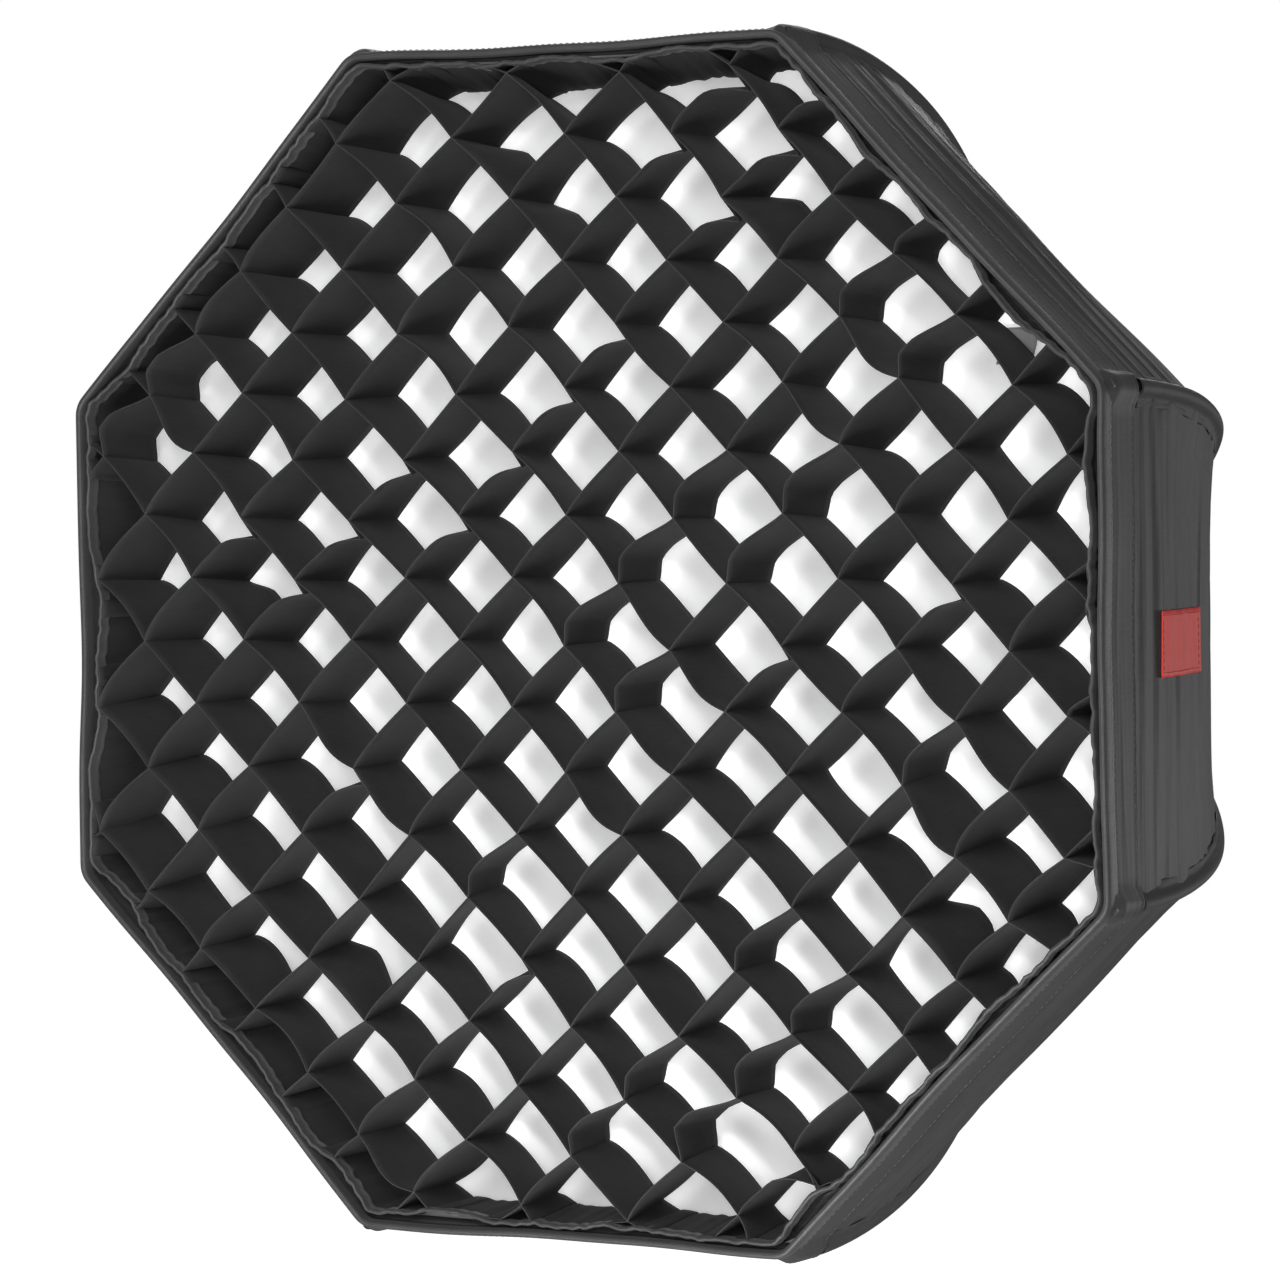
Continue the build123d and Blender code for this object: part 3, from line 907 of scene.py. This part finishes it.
def all_stitches():
    """One seam along the lip's binding and one along the rear edge of the hem."""
    rim_line = lip_line(3.0 * MM, 8 * MM)
    hem_line = lip_line(2.3 * MM, 34.6 * MM, corner=9 * MM)
    stitches("rim_stitches", [rim_line], THREAD, "softbox")
    stitches("hem_stitches", [hem_line], THREAD, "softbox")


# ---------------------------------------------------------------- metal and plastic parts of the frame
def finish_frame():
    """Finishes of the rigid nodes that are kept from the frame."""
    metal = solid_finish("machined_aluminium", (0.60, 0.61, 0.63), 0.32, metallic=1.0, grain=900)
    coat = solid_finish("black_powder_coat", (0.022, 0.022, 0.024), 0.5, grain=1500, depth=0.5)
    zinc = solid_finish("zinc_plate", (0.50, 0.51, 0.52), 0.35, metallic=1.0, grain=700)
    steel = solid_finish("spring_steel", (0.42, 0.42, 0.43), 0.38, metallic=1.0, grain=500)
    plastic = solid_finish("black_moulding", (0.018, 0.018, 0.019), 0.55, grain=1800, depth=0.35)
    finishes = {"bayonet_insert": metal, "insert_retainer": metal, "speed_ring": coat, "rod_sockets": zinc,
                "rod_tip_caps": plastic, "lock_screw_1": plastic, "lock_screw_2": plastic}
    finishes.update({f"rod_{i}": steel for i in range(1, SIDES + 1)})
    for node, finish in finishes.items():
        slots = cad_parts[node].material_slots
        for slot in slots:
            slot.material = finish
        if not slots:
            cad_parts[node].data.materials.append(finish)


# ---------------------------------------------------------------- camera, light and floor
CAMERA_PLACE = Vector((1.4964, FRONT_Y - 2.4426, 0.0785))
CAMERA_FORWARD = Vector((-0.50909562, 0.86029576, -0.02669951))
CAMERA_UP = Vector((-0.00613586, 0.02739203, 0.99960594))
CAMERA_LENS = 144.44                # mm
CAMERA_SENSOR = 36.0                # mm
AMBIENT = 0.14                      # how strongly the white world lights the object
FLOOR_Z = -0.95
FLOOR_REACH = 9


def add_camera():
    """A long lens in front and to the right, turned and tilted a little."""
    data = bpy.data.cameras.new("camera")
    data.sensor_width = CAMERA_SENSOR
    data.lens = CAMERA_LENS
    data.clip_end = 50.0
    camera = bpy.data.objects.new("camera", data)
    bpy.context.scene.collection.objects.link(camera)
    turn = Matrix((CAMERA_FORWARD.cross(CAMERA_UP), CAMERA_UP, -CAMERA_FORWARD)).transposed()
    camera.matrix_world = Matrix.Translation(CAMERA_PLACE) @ turn.to_4x4()
    bpy.context.scene.camera = camera
    return camera


def area_light(name, place, target, size, power):
    """A round lamp that faces the target."""
    data = bpy.data.lights.new(name, "AREA")
    data.shape = "DISK"
    data.size = size
    data.energy = power
    light = bpy.data.objects.new(name, data)
    bpy.context.scene.collection.objects.link(light)
    light.location = place
    light.rotation_euler = (Vector(target) - Vector(place)).to_track_quat("-Z", "Y").to_euler()
    return light


def add_backdrop():
    """The backdrop is pure white, and softer than that as a light on the object."""
    scene = bpy.context.scene
    scene.view_settings.view_transform = "Standard"
    world = bpy.data.worlds.new("studio")
    scene.world = world
    world.use_nodes = True
    nodes, links = world.node_tree.nodes, world.node_tree.links
    backdrop = nodes["Background"]
    backdrop.inputs["Color"].default_value = (1.0, 1.0, 1.0, 1)
    ambient = nodes.new("ShaderNodeBackground")
    ambient.inputs["Color"].default_value = (1.0, 1.0, 1.0, 1)
    ambient.inputs["Strength"].default_value = AMBIENT
    rays = nodes.new("ShaderNodeLightPath")
    mix = nodes.new("ShaderNodeMixShader")
    links.new(rays.outputs["Is Camera Ray"], mix.inputs[0])
    links.new(ambient.outputs[0], mix.inputs[1])
    links.new(backdrop.outputs[0], mix.inputs[2])
    links.new(mix.outputs[0], nodes["World Output"].inputs["Surface"])


def add_lights():
    """Two keys in front, one above and one below, and fills for the front, the right and the back."""
    middle = (0, FRONT_Y, 0)
    area_light("upper_key", (0.35, FRONT_Y - 1.9, 1.15), middle, 1.5, 36)
    area_light("lower_key", (0.15, FRONT_Y - 1.2, -1.05), middle, 0.9, 30)
    area_light("front_fill", (1.5, FRONT_Y - 2.6, 0.15), middle, 1.3, 17)
    area_light("right_fill", (3.1, FRONT_Y - 0.3, -1.5), (0.3, 0, 0), 1.0, 46)
    area_light("right_rake", (1.5, FRONT_Y + 2.6, -0.4), (0.3, FRONT_Y + 0.1, 0), 0.6, 20)
    area_light("back_fill", (-1.4, 2.6, 1.2), (0, 0, 0), 1.6, 65)
    area_light("table_bounce", (0.2, FRONT_Y - 0.6, -0.92), (0, FRONT_Y, 0.3), 1.1, 11)


def add_floor():
    """A pale floor well below the object, which only the camera sees."""
    pale, _, _, shader = new_material("pale_floor")
    shader.inputs["Base Color"].default_value = (0.9, 0.9, 0.9, 1)
    shader.inputs["Roughness"].default_value = 1.0
    shader.inputs["Emission Color"].default_value = (1, 1, 1, 1)
    shader.inputs["Emission Strength"].default_value = 0.95
    corners = [[(x * FLOOR_REACH, y * FLOOR_REACH, 0) for x in (-1, 1)] for y in (-1, 1)]
    floor = surface("floor", np.array(corners, float), [pale])
    floor.location.z = FLOOR_Z
    floor.visible_diffuse = floor.visible_glossy = False


def build():
    """Every piece, then the finishes, the camera and the studio."""
    for number in range(1, 2 * STRIPS_EACH_SIDE + 2):
        for family in "ab":
            grid_strip(family, number)
    grid_border()
    diffuser()
    for number, (flat, corner) in enumerate(zip(FLATS, CORNERS), start=1):
        shell_panel(number, flat)
        rib_sleeve(number, corner)
    lip()
    back_collar()
    maker_tag()
    all_stitches()
    finish_frame()
    add_camera()
    add_backdrop()
    add_lights()
    add_floor()


build()
bpy.context.view_layer.update()
